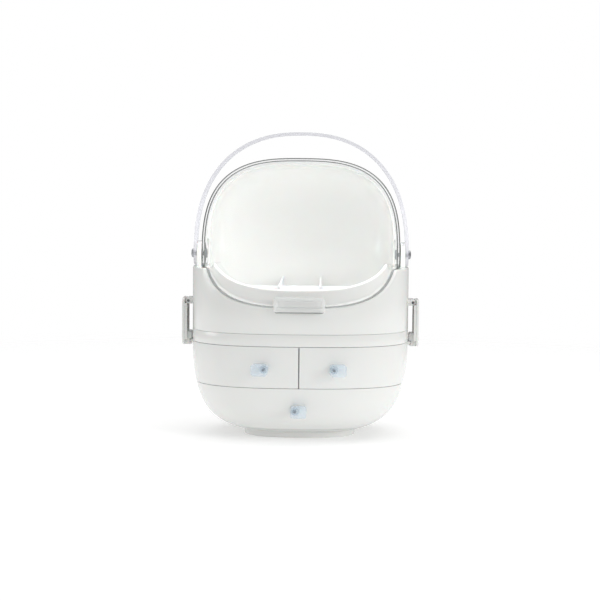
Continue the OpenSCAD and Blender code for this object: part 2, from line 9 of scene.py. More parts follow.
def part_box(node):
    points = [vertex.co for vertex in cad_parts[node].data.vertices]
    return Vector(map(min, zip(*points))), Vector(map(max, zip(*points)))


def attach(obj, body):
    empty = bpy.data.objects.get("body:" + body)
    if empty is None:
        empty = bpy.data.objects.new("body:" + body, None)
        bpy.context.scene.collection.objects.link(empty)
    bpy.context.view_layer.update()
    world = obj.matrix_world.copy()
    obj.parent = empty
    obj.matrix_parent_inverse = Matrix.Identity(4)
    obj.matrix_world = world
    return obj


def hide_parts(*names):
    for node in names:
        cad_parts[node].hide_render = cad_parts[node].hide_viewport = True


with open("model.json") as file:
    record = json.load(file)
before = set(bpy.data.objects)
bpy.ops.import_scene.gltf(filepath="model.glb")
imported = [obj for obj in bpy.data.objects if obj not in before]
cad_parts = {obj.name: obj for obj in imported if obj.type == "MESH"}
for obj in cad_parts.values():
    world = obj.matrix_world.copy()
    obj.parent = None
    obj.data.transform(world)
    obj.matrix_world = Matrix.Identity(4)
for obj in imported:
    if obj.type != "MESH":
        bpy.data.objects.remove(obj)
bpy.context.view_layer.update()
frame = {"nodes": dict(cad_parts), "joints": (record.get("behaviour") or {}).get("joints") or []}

bl_info = {
    "name": "Dustproof Makeup Organizer",
    "version": (1, 0, 0),
    "blender": (4, 5, 0),
    "location": "View3D > Sidebar > Organizer",
    "description": "Builds an egg-shaped makeup box with a visor lid, a carrying arch and three drawers",
    "category": "Object",
}


# Sizes that come from the frame

def spot(name):
    """Middle of a node's box."""
    low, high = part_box(name)
    return (low + high) / 2


HALF_W, HALF_D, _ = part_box("base_tray")[1]
CABINET_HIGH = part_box("cabinet_shell")[1]
DECK_Z = CABINET_HIGH.z
SHELF_Z = spot("drawer_shelf").z
FOOT_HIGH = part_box("foot_base")[1]
TUB_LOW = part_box("tub")[0]
LID_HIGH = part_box("lid")[1]
HANDLE_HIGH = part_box("handle")[1]
PIVOT_Z = spot("pivot_pin_left").z
CLASP_X, _, CLASP_Z = next(joint["pos_m"] for joint in frame["joints"]
                           if joint["name"] == "right_latch_hinge")

# Pieces that come in pairs or threes, with the side that each is on
SIDES = (("left", -1), ("right", 1))
DRAWERS = (*SIDES, ("wide", 0))


def length(name, description, default):
    return bpy.props.FloatProperty(name=name, description=description, default=default,
                                   subtype="DISTANCE", unit="LENGTH", min=0)


def number(name, description, default):
    return bpy.props.FloatProperty(name=name, description=description, default=default)


def angle(name, description, degrees):
    return bpy.props.FloatProperty(name=name, description=description,
                                   default=math.radians(degrees),
                                   subtype="ANGLE", unit="ROTATION")


def colour(name, description, default):
    return bpy.props.FloatVectorProperty(name=name, description=description, default=default,
                                         subtype="COLOR", size=3, min=0, max=1)


class ORGANIZER_PG_body(bpy.types.PropertyGroup):
    """Sizes of the egg-shaped body"""
    plan_power: number("Plan squareness", "Squareness of the body seen from above", 2.7)
    side_power: number("Belly squareness", "Squareness of the curve under the body", 3.8)
    belly_z: length("Belly height", "Height where the sides begin to curve in", 0.136)
    belly_root: length("Belly root", "Height at which that curve would close", 0.004)
    wall: length("Wall", "Wall thickness of the casings", 0.0025)
    front_y: length("Side wall depth", "Distance of the casing's front edges from the middle", 0.036)
    band_z: length("Band height", "Height of the seam above the base tray's band", 0.1183)
    front_gap: length("Front gap", "Gap round a drawer front", 0.0004)
    seam: length("Seam", "Gap along the seams between the casings", 0.0002)
    centre_gap: length("Centre gap", "Gap between the small drawer fronts", 0.0012)
    edge: length("Edge", "Rounding along the edges of the white parts", 0.0005)
    tongue: length("Tongue height", "Height of the tongue that the tub sits over", 0.0034)
    tray_wall: length("Tray wall", "Wall thickness of the drawer trays", 0.002)
    tray_gap: length("Tray gap", "Running gap beside a drawer tray", 0.0012)


class ORGANIZER_PG_lid(bpy.types.PropertyGroup):
    """Sizes of the lid, its rim and the cover behind it"""
    power: number("Arch squareness", "Squareness of the lid's arch", 2.87)
    wall: length("Lid thickness", "Thickness of the lid", 0.0025)
    inset: length("Lid inset", "How far the lid lies inside the body's face", 0.001)
    rear: angle("Rear edge", "Angle of the lid's rear edge from level at the front", 102)
    ear_r: length("Ear radius", "Radius of the lid's ears", 0.0126)
    rim_drop: length("Rim drop", "Drop of the rim at the front below the pivots", 0.054)
    side_drop: length("Side drop", "Drop of the rim at the sides below the pivots", 0.0135)
    rim_arc_r: length("Rim arc", "Radius of the rim's curve, seen from the side", 0.113)
    rim_slope: angle("Rim slope", "Slope of that curve at the front", 38)
    lip_rise: length("Lip rise", "Height of the inner lip above the rim", 0.0205)
    lip_side_drop: length("Lip side drop", "Drop of the lip's sides below the pivots", 0.007)
    lip_arc_r: length("Lip arc", "Radius of the lip's curve, seen from the side", 0.124)
    lip_slope: angle("Lip slope", "Slope of the lip's curve at the front", 40)
    lip_inset: length("Lip inset", "Distance of the inner wall from the outer face", 0.0055)
    lip_wall: length("Lip thickness", "Thickness of the inner wall", 0.0022)
    lip_side: length("Lip side", "Half width over the inner wall's flat sides", 0.1055)
    lip_end: length("Lip end", "Half width over which the inner lip stands up", 0.097)
    cover_offset: length("Cover offset", "How far the back cover lies inside the lid's face", 0.0042)
    cover_front: angle("Cover edge", "Angle of the back cover's front edge", 95)
    cover_wall: length("Cover thickness", "Thickness of the back cover", 0.0025)
    cover_notch: length("Cover notch", "Radius left free round the pivots", 0.016)
    boss_proud: length("Boss height", "How far the lid's bosses stand out at the ears", 0.0004)
    boss_deep: length("Boss depth", "How far the lid's bosses stand in at the ears", 0.0007)
    ear_gap: length("Ear gap", "Gap on either side of the tub's ears", 0.0004)
    tub_ear_r: length("Tub ear radius", "Radius of the tub's ears", 0.014)
    tab_wide: length("Tab width", "Width of the finger tab", 0.055)
    tab_high: length("Tab height", "Height of the finger tab", 0.017)
    tab_top: length("Tab top", "Height of the tab's top above the rim", 0.0125)
    tab_thick: length("Tab thickness", "Thickness of the finger tab", 0.005)


class ORGANIZER_PG_handle(bpy.types.PropertyGroup):
    """Sizes of the carrying arch"""
    power: number("Arch squareness", "Squareness of the carrying arch", 2.35)
    thick: length("Band thickness", "Thickness of the arch's band", 0.0032)
    edge: length("Band edge", "Rounding along the band's edges", 0.0009)


class ORGANIZER_PG_knobs(bpy.types.PropertyGroup):
    """Sizes of the drawer knobs"""
    wide: length("Knob width", "Width of a knob", 0.017)
    high: length("Knob height", "Height of a knob", 0.0125)
    deep: length("Knob depth", "Depth of the knob's block", 0.011)
    corner: length("Knob corner", "Corner radius of a knob", 0.003)
    soft: length("Knob edge", "Rounding of the knob's front and back edges", 0.0016)
    neck_dia: length("Neck diameter", "Diameter of the knob's neck", 0.0085)
    neck: length("Neck length", "Length of the knob's neck", 0.0035)
    x: length("Screw offset", "Distance of a small drawer's screw from the middle", 0.037)
    shift: length("Knob shift", "Distance of the screw from the middle of its knob", 0.004)
    upper_z: length("Upper knob height", "Height of the small drawers' knobs", 0.081)
    lower_z: length("Lower knob height", "Height of the wide drawer's knob", 0.0355)
    pad_r: length("Pad radius", "Radius of the flat pad under a knob", 0.006)
    screw_r: length("Screw radius", "Radius of a knob's screw", 0.0015)
    screw_head_r: length("Screw head radius", "Radius of the screw's head", 0.0032)


class ORGANIZER_PG_clasps(bpy.types.PropertyGroup):
    """Sizes of the side clasps, their pins and their catch ribs"""
    plate_x: length("Plate place", "Distance of the plates' inner faces from the middle", 0.1288)
    corner: length("Plate corner", "Corner radius of a plate", 0.005)
    knuckle_r: length("Knuckle radius", "Radius of the knuckle round the pin", 0.0034)
    knuckle_wide: length("Knuckle width", "Width of the knuckle", 0.015)
    bore_r: length("Bore radius", "Radius of the hole for the pin", 0.00155)
    lug: length("Lug width", "Width of each of the tub's lugs", 0.004)
    block_h: length("Hook block height", "Height of the hook's block above the deck", 0.008)
    block_wide: length("Hook block width", "Width of the hook's block", 0.022)
    rib_high: length("Rib top", "Distance of a catch rib below the deck", 0.0007)
    rib_h: length("Rib height", "Height of a catch rib", 0.003)
    rib_wide: length("Rib width", "Width of a catch rib", 0.024)
    hook_gap: length("Hook gap", "Gap between a hook and its rib", 0.0004)
    hook_clear: length("Hook clearance", "Gap between a hook and the box's side", 0.0012)


class ORGANIZER_PG_finish(bpy.types.PropertyGroup):
    """Colours of the parts"""
    white: colour("White shell", "Glossy white moulding", (0.80, 0.805, 0.785))
    milk: colour("Inner white", "Milky moulding of trays and dividers", (0.80, 0.82, 0.84))
    lid_tint: colour("Lid tint", "Tint of the clear lid", (0.78, 0.83, 0.82))
    # Painted shade: the dark colour the lid turns to where it is seen edge on, in place of the dark
    # surroundings shown by edge-on plastic
    outline: colour("Lid outline", "Shade where the lid is seen edge on", (0.05, 0.05, 0.045))
    tab_tint: colour("Tab tint", "Tint of the lid's tab", (0.97, 0.98, 0.97))
    handle_tint: colour("Handle tint", "Tint of the clear arch", (0.70, 0.70, 0.755))
    knob: colour("Knob blue", "Pale blue of the knobs", (0.70, 0.83, 0.94))
    steel: colour("Steel", "Rivets, screws and pins", (0.42, 0.43, 0.45))
    floor: colour("Floor", "Pale floor", (0.97, 0.97, 0.97))


class ORGANIZER_PG_stage(bpy.types.PropertyGroup):
    """Camera and light"""
    distance: length("Camera distance", "From the camera to the middle of the box", 1.8)
    height: length("Camera height", "Height of the camera", 0.290)
    pitch: angle("Camera pitch", "How far the camera looks down", 4.5)
    azimuth: angle("Camera azimuth", "How far the camera stands to the right", 0.9)
    roll: angle("Camera roll", "Lean of the picture", 0.5)
    lens: number("Lens", "Focal length in millimetres on a 36 mm sensor", 96.7)
    shift_x: number("Camera shift", "Sideways shift of the picture", -0.0012)
    room: number("Room light", "Strength of the white room as a light", 0.44)
    floor_r: length("Floor radius", "Radius of the floor", 3.0)
    floor_end: length("Floor fade", "Distance at which the floor has faded out", 1.15)


GROUPS = {"organizer_body": ORGANIZER_PG_body, "organizer_lid": ORGANIZER_PG_lid,
          "organizer_handle": ORGANIZER_PG_handle, "organizer_knobs": ORGANIZER_PG_knobs,
          "organizer_clasps": ORGANIZER_PG_clasps, "organizer_finish": ORGANIZER_PG_finish,
          "organizer_stage": ORGANIZER_PG_stage}


def settings(name):
    return getattr(bpy.context.scene, "organizer_" + name)


# Shader maths

class Value:
    """Wraps a node's output, so that shader maths reads as an expression."""

    def __init__(self, tree, output):
        self.tree = tree
        self.output = output

    def maths(self, operation, *others):
        return node(self.tree, "ShaderNodeMath", {"operation": operation},
                    **{str(i): v for i, v in enumerate((self, *others))})

    def __add__(self, other): return self.maths("ADD", other)
    def __sub__(self, other): return self.maths("SUBTRACT", other)
    def __mul__(self, other): return self.maths("MULTIPLY", other)
    def __pow__(self, other): return self.maths("POWER", other)
    def __rsub__(self, other): return (self * -1) + other
    __radd__ = __add__
    __rmul__ = __mul__

    def clamped(self):
        found = self.maths("ADD", 0)
        found.output.node.use_clamp = True
        return found

    def mixed(self, low, high):
        """Colour between low and high, by this value."""
        return node(self.tree, "ShaderNodeMix", {"data_type": "RGBA"}, out="Result",
                    Factor=self, A=low, B=high)


def find_socket(sockets, name):
    """Socket by its number or by its name; a Mix node has several of one name."""
    if name.isdigit():
        return sockets[int(name)]
    return next(s for s in sockets if s.name == name and s.enabled)


def node(tree, kind, options=None, out=None, **values):
    """Adds a node: its settings first, then the values or links of its sockets."""
    made = tree.nodes.new(kind)
    for key, value in (options or {}).items():
        setattr(made, key, value)
    for key, value in values.items():
        socket = find_socket(made.inputs, key.replace("_", " "))
        if isinstance(value, Value):
            tree.links.new(value.output, socket)
        elif socket.type == "RGBA" and len(value) == 3:
            socket.default_value = (*value, 1)
        else:
            socket.default_value = value
    return Value(tree, find_socket(made.outputs, out) if out else made.outputs[0])


def new_material(name):
    material = bpy.data.materials.new(name)
    material.use_nodes = True
    tree = material.node_tree
    tree.nodes.clear()
    return material, tree


def finish_material(material, tree, **sockets):
    shader = node(tree, "ShaderNodeBsdfPrincipled", **sockets)
    tree.links.new(shader.output, tree.nodes.new("ShaderNodeOutputMaterial").inputs["Surface"])
    return material


def noise(tree, place, scale, detail=2.0, rough=0.5):
    """Soft noise; its scale is in lumps to the metre."""
    return node(tree, "ShaderNodeTexNoise", out="Fac", Vector=place, Scale=scale,
                Detail=detail, Roughness=rough)


def place_in(tree):
    """Place on the piece, in metres."""
    return node(tree, "ShaderNodeTexCoord", out="Object")


def darker(tint, share):
    return tuple(c * share for c in tint)


def white_plastic(name, tint, shine=0.22, coat=0.35):
    """Glossy moulded white: faint clouding, satin patches and a fine mould grain."""
    material, tree = new_material(name)
    place = place_in(tree)
    cloud = noise(tree, place, 14)
    grain = noise(tree, place, 900, detail=3)
    scuff = noise(tree, place, 55, detail=6, rough=0.7)
    tone = (cloud * 0.7 + scuff * 0.3).mixed(darker(tint, 0.975), tint)
    rough = scuff * 0.10 + (shine - 0.05)
    bump = node(tree, "ShaderNodeBump", out="Normal", Strength=0.05, Distance=0.0002,
                Height=grain)
    return finish_material(material, tree, Base_Color=tone, Roughness=rough, Normal=bump,
                           IOR=1.5, Coat_Weight=coat, Coat_Roughness=0.06,
                           Subsurface_Weight=0.08, Subsurface_Scale=0.004)


def clear_plastic(name, tint, face, edge, line, shade, haze=0.03):
    """Clear moulding: see-through face on, denser where it turns away, dark along its outline.

    Face, edge, line and haze are how much each adds to the opacity, and shade tints the outline: a
    painted shade for the dark surroundings seen in edge-on plastic, with the coat taken off there.
    """
    outline_from, outline_rate = 0.82, 11
    material, tree = new_material(name)
    place = place_in(tree)
    turn = node(tree, "ShaderNodeLayerWeight", out="Facing", Blend=0.5)
    outline = ((turn - outline_from) * outline_rate).clamped()
    cloud = noise(tree, place, 20, detail=3)
    smear = noise(tree, place, 60, detail=5, rough=0.65)
    # Painted shade: the colour turns to the shade colour where the plastic is seen edge on
    tone = (outline * 0.9 + cloud * 0.1).mixed(tint, shade)
    alpha = (turn ** 4 * edge + outline * line + cloud * haze + face).clamped()
    return finish_material(material, tree, Base_Color=tone, Roughness=smear * 0.05 + 0.03,
                           Alpha=alpha, IOR=1.49, Specular_IOR_Level=0.0,
                           Coat_Weight=1 - outline, Coat_Roughness=0.02)


def turned_steel(name, tint):
    """Steel with fine turning marks and small dull spots."""
    material, tree = new_material(name)
    place = place_in(tree)
    marks = noise(tree, place, 700, detail=4)
    dull = noise(tree, place, 240, detail=3)
    tone = marks.mixed(darker(tint, 0.75), tint)
    bump = node(tree, "ShaderNodeBump", out="Normal", Strength=0.12, Distance=0.0001,
                Height=marks)
    return finish_material(material, tree, Base_Color=tone, Metallic=1.0,
                           Roughness=dull * 0.18 + 0.2, Normal=bump)


FINISHES = {
    "white": lambda f: white_plastic("glossy_white", f.white),
    "milk": lambda f: white_plastic("milky_inner", f.milk, shine=0.34, coat=0.12),
    "lid": lambda f: clear_plastic("clear_lid", f.lid_tint,
                                   face=0.03, edge=0.12, line=0.92, shade=f.outline),
    # Painted shade: a darker, denser tint for the lid's cut rim edge and the tab's lower edge, in place
    # of the shadow gap and the shadow line under the tab
    "lid_edge": lambda f: clear_plastic("clear_lid_edge", darker(f.lid_tint, 0.30),
                                        face=0.55, edge=0.10, line=0.3, shade=f.outline),
    "tab": lambda f: clear_plastic("clear_tab", f.tab_tint,
                                   face=0.36, edge=0.05, line=0.0, shade=f.lid_tint),
    "handle": lambda f: clear_plastic("clear_arch", f.handle_tint,
                                      face=0.42, edge=0.0, line=0.0, shade=f.handle_tint),
    # The knobs also turn a darker blue along their outline: painted shade
    "knob": lambda f: clear_plastic("knob_blue", f.knob, haze=0.08,
                                    face=0.24, edge=0.22, line=0.08, shade=darker(f.knob, 0.75)),
    "screw": lambda f: turned_steel("screw_steel", darker(f.steel, 0.3)),
    "steel": lambda f: turned_steel("turned_steel", f.steel),
}
made_finishes = {}

# Places of the lid's trims among its finishes: first the painted shade along its rim edge and under its
# tab, then the tab's tint
PAINTED_SHADE, TAB = 1, 2

# Steps in which a curve's end is closed in on
HALVINGS = 40


def finish_of(name):
    if name not in made_finishes:
        made_finishes[name] = FINISHES[name](settings("finish"))
    return made_finishes[name]


# Curves of the body

def egg_radius(turn, a, b, power):
    """Distance from the middle to a squared-off ellipse in a direction."""
    return (abs(math.cos(turn) / a) ** power + abs(math.sin(turn) / b) ** power) ** (-1 / power)


def plan_point(turn, a, b, power):
    r = egg_radius(turn, a, b, power)
    return r * math.cos(turn), r * math.sin(turn)


def plan_ring(a, b, z, steps):
    """Ring of points with the body's plan at a height."""
    power = settings("body").plan_power
    return [(*plan_point(2 * math.pi * i / steps, a, b, power), z) for i in range(steps)]


def belly(z):
    """Share of the full width and depth that the body has at a height."""
    body = settings("body")
    if z >= body.belly_z:
        return 1.0
    depth = (body.belly_z - z) / (body.belly_z - body.belly_root)
    return max(0, 1 - min(1, depth) ** body.side_power) ** (1 / body.side_power)


def body_axes(z, inset=0.0):
    return HALF_W * belly(z) - inset, HALF_D * belly(z) - inset


def body_point(turn, z, inset=0.0):
    a, b = body_axes(z, inset)
    return (*plan_point(turn, a, b, settings("body").plan_power), z)


def turn_at_y(y, z, inset=0.0):
    """Direction, left of straight right, in which the outline reaches a depth y."""
    a, b = body_axes(z, inset)
    n = settings("body").plan_power
    x = a * max(0, 1 - abs(y / b) ** n) ** (1 / n)
    return math.atan2(y, x)


def front_depth(x, z, inset=0.0):
    """Distance of the front outline from the middle at a width x."""
    a, b = body_axes(z, inset)
    n = settings("body").plan_power
    return b * max(0, 1 - abs(x / a) ** n) ** (1 / n)


def turn_at_x(x, z, inset=0.0):
    """Direction in which the front outline has a width x."""
    return math.atan2(-front_depth(x, z, inset), x)


def spread(low, high, steps):
    """Values from low to high in even steps, both ends included."""
    return [low + (high - low) * i / steps for i in range(steps + 1)]


def rim_height(y):
    """Height of the tub's rim at a depth y, the same in front and behind."""
    lid = settings("lid")
    arc = arc_drop(y, HALF_D - lid.inset, lid.rim_drop, lid.rim_slope, lid.rim_arc_r)
    return PIVOT_Z + min(-lid.side_drop, arc)


def arc_middle(front, drop, slope, radius):
    """Middle of an arc, about the pivots, that leaves the front point at a slope."""
    return front + radius * math.sin(slope), -drop + radius * math.cos(slope)


def arc_drop(y, front, drop, slope, radius):
    """Height of that arc, about the pivots, at a depth y."""
    cy, cz = arc_middle(front, drop, slope, radius)
    reach = cy - abs(y)
    if reach >= radius:
        return cz
    return cz - math.sqrt(radius * radius - reach * reach)


def ease(share):
    """Smooth step from 0 to 1."""
    share = min(1.0, max(0.0, share))
    return share * share * (3 - 2 * share)


def lip_height(x, y):
    """Height of the inner lip: high along the front, down to the rim elsewhere."""
    lid = settings("lid")
    rim = rim_height(y)
    front = HALF_D - lid.lip_inset - lid.lip_wall
    arc = arc_drop(y, front, lid.rim_drop - lid.lip_rise, lid.lip_slope, lid.lip_arc_r)
    high = PIVOT_Z + min(-lid.lip_side_drop, arc)
    back_y, fade = -0.010, 0.004
    raised = ease((back_y - y) / fade) * ease((lid.lip_end - abs(x)) / fade)
    return rim + max(0.0, high - rim) * raised


# Mesh building

def make_piece(name, bm, finish, body, *nodes, edge=0.0, segments=2, sharp=35.0, trims=()):
    """Turns a bmesh into a piece with its finish, its rounded edges and its place in the frame.

    Trims are further finishes, for the faces that are numbered for them.
    """
    bmesh.ops.remove_doubles(bm, verts=bm.verts, dist=1e-6)
    bmesh.ops.dissolve_degenerate(bm, edges=bm.edges, dist=1e-7)
    bmesh.ops.recalc_face_normals(bm, faces=bm.faces)
    mesh = bpy.data.meshes.new(name)
    bm.to_mesh(mesh)
    bm.free()
    piece = bpy.data.objects.new(name, mesh)
    bpy.context.scene.collection.objects.link(piece)
    for face in mesh.polygons:
        face.use_smooth = True
    if edge:
        rounding = piece.modifiers.new("rounded_edges", "BEVEL")
        rounding.width = edge
        rounding.segments = segments
        rounding.limit_method = "ANGLE"
        rounding.angle_limit = math.radians(sharp)
        rounding.harden_normals = True
    else:
        mesh.set_sharp_from_angle(angle=math.radians(sharp))
    for each in (finish, *trims):
        mesh.materials.append(finish_of(each))
    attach(piece, body)
    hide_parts(*nodes)


def add_loop(bm, points):
    return [bm.verts.new(p) for p in points]


def stitch(bm, one, two):
    """Band of faces between two rings of corners."""
    for i in range(len(one)):
        j = (i + 1) % len(one)
        bm.faces.new((one[i], one[j], two[j], two[i]))


def add_rings(bm, rings, loop=False):
    """Skins a list of rings of points, with flat ends or joined up as a loop."""
    made = [add_loop(bm, ring) for ring in rings]
    for one, two in zip(made, made[1:]):
        stitch(bm, one, two)
    if loop:
        stitch(bm, made[-1], made[0])
    else:
        bm.faces.new(list(reversed(made[0])))
        bm.faces.new(made[-1])
    return made


def add_thick(bm, outer, inner, first_edge_finish=0):
    """Closed shell between two grids of the same size.

    The edge along their first columns may have a finish of its own.
    """
    a = [add_loop(bm, row) for row in outer]
    b = [add_loop(bm, row) for row in inner]
    rows, columns = len(a), len(a[0])
    for r in range(rows - 1):
        for c in range(columns - 1):
            bm.faces.new((a[r][c], a[r][c + 1], a[r + 1][c + 1], a[r + 1][c]))
            bm.faces.new((b[r][c], b[r + 1][c], b[r + 1][c + 1], b[r][c + 1]))
    edge = ([(0, c) for c in range(columns)] + [(r, columns - 1) for r in range(1, rows)]
            + [(rows - 1, c) for c in range(columns - 2, -1, -1)]
            + [(r, 0) for r in range(rows - 2, 0, -1)])
    for (r, c), (r2, c2) in zip(edge, edge[1:] + edge[:1]):
        side = bm.faces.new((a[r][c], b[r][c], b[r2][c2], a[r2][c2]))
        if c == c2 == 0:
            side.material_index = first_edge_finish


def rounded_outline(wide, high, radius, steps=6):
    """Points of a rounded rectangle, anticlockwise from its right side."""
    points = []
    for k, (sx, sy) in enumerate(((1, 1), (-1, 1), (-1, -1), (1, -1))):
        for i in range(steps + 1):
            turn = math.radians(90) * (k + i / steps)
            points.append((sx * (wide / 2 - radius) + radius * math.cos(turn),
                           sy * (high / 2 - radius) + radius * math.sin(turn)))
    return points


def edge_profile(deep, soft, steps=4):
    """(inset, depth) steps of a block with rounded front and back edges."""
    low = [(soft * (1 - math.sin(math.radians(90) * i / steps)),
            soft * (1 - math.cos(math.radians(90) * i / steps))) for i in range(steps + 1)]
    return low + [(i, deep - d) for i, d in reversed(low)]


def add_block(bm, place, wide, high, deep, corner, soft, steps=4, corner_steps=6, dish=None):
    """Rounded block: wide along X, high along Y, deep along Z of the given place.

    A dish is the width of the border left round it, its depth and how far it sits off centre;
    its wall slopes in two steps.
    """
    profile = [(inset, depth, 0) for inset, depth in edge_profile(deep, soft, steps)]
    if dish:
        border, sunk, lift = dish
        profile += [(border, deep, lift), (border + sunk * 0.3, deep - sunk * 0.25, lift),
                    (border + sunk * 0.6, deep - sunk, lift)]
    rings = []
    for inset, depth, lift in profile:
        points = rounded_outline(wide - 2 * inset, high - 2 * (inset + lift),
                                 max(corner - inset, corner * 0.25), corner_steps)
        rings.append([place @ Vector((x, y + lift, depth)) for x, y in points])
    return add_rings(bm, rings)


def add_turned(bm, place, profile, steps=48, loop=False):
    """Lathe work about the place's Z axis; profile is a list of (radius, height)."""
    rings = []
    for radius, height in profile:
        rings.append([place @ Vector((radius * math.cos(2 * math.pi * i / steps),
                                      radius * math.sin(2 * math.pi * i / steps), height))
                      for i in range(steps)])
    add_rings(bm, rings, loop=loop)


def corner_arc(corner, before, after, radius, steps=4):
    """Rounded corner between two level or upright directions."""
    points = []
    for i in range(steps + 1):
        turn = math.radians(90) * i / steps
        points.append(tuple(c - b * radius * (1 - math.sin(turn)) + a * radius * (1 - math.cos(turn))
                            for c, b, a in zip(corner, before, after)))
    return points


def arch_outline(radius, drop, steps=24):
    """Half circle over two straight legs that end a drop below its middle."""
    return ([(radius * math.cos(t), radius * math.sin(t)) for t in spread(0, math.pi, steps)]
            + [(-radius, -drop), (radius, -drop)])


def add_arch_slab(bm, place, radius, drop, deep, soft):
    """Flat slab with that outline and softened edges."""
    add_rings(bm, [[place @ Vector((x, y, depth)) for x, y in arch_outline(radius - inset, drop)]
                   for inset, depth in edge_profile(deep, soft, 3)])


def placed(at, right, up):
    """Place with the given X and Y axes; its Z axis is square to both."""
    right, up = Vector(right), Vector(up)
    turn = Matrix((right, up, right.cross(up))).transposed()
    return Matrix.Translation(at) @ turn.to_4x4()


def side_place(side, x, z=PIVOT_Z):
    """Place at a side of the box, with its Z axis pointing outwards."""
    return placed((side * x, 0, z), (0, side, 0), (0, 0, 1))


def hinge_place(side, y):
    """Place on a clasp's pin, with its Y axis pointing outwards and its Z axis along the pin."""
    return placed((side * CLASP_X, y, CLASP_Z), (0, 0, side), (side, 0, 0))


def rib_heights():
    """Underside and top of the catch ribs."""
    clasps = settings("clasps")
    top = DECK_Z - clasps.rib_high
    return top - clasps.rib_h, top


# Pieces

def build_tub():
    """Outer wall, rolled rim, inner lip and pivot ears.

    The section is a list of (zone, inset, height): heights count from the table, the rim or the
    lip by their zone.
    """
    body, lid = settings("body"), settings("lid")
    up, down, inward, outward = (0, 1), (0, -1), (1, 0), (-1, 0)
    low, seam_z = TUB_LOW.z, body.band_z + body.seam / 2
    wall, lip_in = body.wall, lid.lip_inset
    far = lip_in + lid.lip_wall
    seam_round, rim_round, foot_round, lip_round = 0.0004, 0.0011, 0.0005, 0.0008
    section = (
        [("level", *p) for p in corner_arc((0, seam_z), outward, up, seam_round, 2)]
        + [("rim", *p) for p in corner_arc((0, 0), up, inward, rim_round)]
        + [("rim", *p) for p in corner_arc((lip_in, 0), inward, up, foot_round, 2)]
        + [("lip", *p) for p in corner_arc((lip_in, 0), up, inward, lip_round)]
        + [("lip", *p) for p in corner_arc((far, 0), inward, down, lip_round)]
        + [("level", far, low), ("level", lip_in, low),
           ("rim", lip_in, -wall), ("rim", wall, -wall), ("level", wall, seam_z)])
    rings = []
    steps = 480
    rounding_from = 0.002
    for k in range(steps):
        turn = 2 * math.pi * (k + 0.5) / steps
        ring = []
        for zone, inset, dz in section:
            x, y = plan_point(turn, HALF_W - inset, HALF_D - inset, body.plan_power)
            if inset > (wall + lip_in) / 2:
                limit = lid.lip_side + lip_in - inset
                x = max(-limit, min(limit, x))
            rim, lip = rim_height(y), lip_height(x, y)
            share = min(1.0, (lip - rim) / rounding_from)
            height = {"level": dz, "lip": lip + dz * share,
                      "rim": rim + dz * (share if dz > 0 else 1)}
            ring.append((x, y, height[zone]))
        rings.append(ring)
    bm = bmesh.new()
    add_rings(bm, rings, loop=True)
    ear_in = LID_HIGH.x + lid.ear_gap
    ear_out = HANDLE_HIGH.x - settings("handle").thick - lid.ear_gap
    sunk, soft = 0.001, 0.0005
    for _, side in SIDES:
        add_arch_slab(bm, side_place(side, ear_in), lid.tub_ear_r, lid.side_drop + sunk,
                      ear_out - ear_in, soft)
    make_piece("tub_shell", bm, "white", "organizer", "tub")


def build_lugs(label, side):
    """Pair of lugs on the tub that hold a clasp's pin."""
    low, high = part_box("clasp_lugs_" + label)
    thick = settings("clasps").lug
    sunk, soft = 0.001, 0.0004
    bm = bmesh.new()
    for y in (low.y, high.y - thick):
        add_arch_slab(bm, hinge_place(side, y), (high.z - low.z) / 2, CLASP_X - HALF_W + sunk,
                      thick, soft)
    make_piece("lugs_" + label, bm, "white", "organizer", "clasp_lugs_" + label)


def build_band():
    """Floor of the upper box with its band and the tongue that the tub sits over."""
    body = settings("body")
    wall, soft = body.wall, 0.0003
    tongue_gap, tongue_t, bevel, fillet = 0.0003, 0.002, 0.0004, 0.001
    foot, high = DECK_Z + body.seam, body.band_z - body.seam / 2
    floor_z = DECK_Z + 0.0026
    out, tongue_in = wall + tongue_gap, wall + tongue_gap + tongue_t
    tip = high + body.tongue
    profile = [(wall + fillet, DECK_Z), (soft + body.seam, foot), (soft, foot),
               (soft * 0.3, foot + soft * 0.3), (0, foot + soft),
               (0, high - soft), (soft * 0.3, high - soft * 0.3), (soft, high),
               (out, high), (out, tip - bevel), (out + bevel, tip),
               (tongue_in - bevel, tip), (tongue_in, tip - bevel),
               (tongue_in, floor_z + fillet), (tongue_in + fillet, floor_z)]
    bm = bmesh.new()
    add_rings(bm, [plan_ring(HALF_W - inset, HALF_D - inset, z, 240) for inset, z in profile])
    make_piece("base_band", bm, "white", "organizer", "base_tray")


def build_casing():
    """Rounded casing of the cabinet, open at the front, with its catch ribs and its floor."""
    body, clasps = settings("body"), settings("clasps")
    floor_z = FOOT_HIGH.z + body.wall
    rows, crowding, columns = 30, 1.25, 120
    grids = []
    for inset in (0, body.wall):
        grid = []
        for share in spread(0, 1, rows):
            z = floor_z + (DECK_Z - floor_z) * share ** crowding
            start = turn_at_y(-body.front_y, z, inset)
            end = math.pi - start
            grid.append([body_point(t, z, inset) for t in spread(start, end, columns)])
        grids.append(grid)
    bm = bmesh.new()
    add_thick(bm, *grids)
    add_rings(bm, [plan_ring(*body_axes(z), z, 200) for z in spread(FOOT_HIGH.z, floor_z, 4)])
    rib_low, rib_top = rib_heights()
    sunk, corner, soft = 0.0006, 0.0004, 0.0006
    for _, side in SIDES:
        place = side_place(side, HALF_W - sunk, (rib_low + rib_top) / 2)
        add_block(bm, place, clasps.rib_wide, clasps.rib_h, CABINET_HIGH.x - HALF_W + sunk,
                  corner, soft, 3, 2)
    make_piece("cabinet_casing", bm, "white", "organizer", "cabinet_shell", edge=body.edge)


